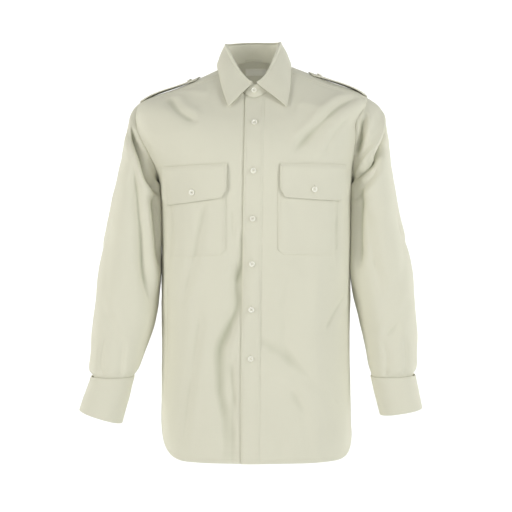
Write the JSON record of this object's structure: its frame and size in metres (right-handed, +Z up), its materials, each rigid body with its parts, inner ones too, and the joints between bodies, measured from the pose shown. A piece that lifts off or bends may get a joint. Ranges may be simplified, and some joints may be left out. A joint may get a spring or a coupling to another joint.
{
  "type": "battle dress shirt",
  "caption": "Long-sleeved uniform shirt on an unseen wearer: button front, collar on a stand, flapped chest pockets, shoulder straps, buttoned cuffs; hollow and open at neck, hem and cuffs.",
  "frame": {"origin": "middle of the shoulder line at the height of the neck points, where the wearer's shoulders carry the shirt", "axes": "+Z up, -Y out of the buttoned front, +X to the wearer's left"},
  "size_m": [0.6949, 0.2576, 0.86],
  "materials": {
    "cloth": "matt plain-woven poplin, pale sand",
    "label_cloth": "matt plain tape",
    "button": "satin ivory resin"
  },
  "bodies": {
    "root": {"front_left": "cloth", "front_right": "cloth", "back": "cloth", "yoke": "cloth", "sleeve_left": "cloth", "sleeve_right": "cloth", "sleeve_placket_left": "cloth", "sleeve_placket_right": "cloth", "cuff_left": "cloth", "cuff_right": "cloth", "collar_stand": "cloth", "collar": "cloth", "placket": "cloth", "pocket_left": "cloth", "pocket_right": "cloth", "pocket_flap_left": "cloth", "pocket_flap_right": "cloth", "shoulder_strap_left": "cloth", "shoulder_strap_right": "cloth", "hanger_tape": "cloth", "label": "label_cloth", "button_front_1": "button", "button_front_2": "button", "button_front_3": "button", "button_front_4": "button", "button_front_5": "button", "button_front_6": "button", "button_stand": "button", "button_flap_left": "button", "button_flap_right": "button", "button_strap_left": "button", "button_strap_right": "button", "button_cuff_left": "button", "button_cuff_right": "button"}
  },
  "joints": []
}
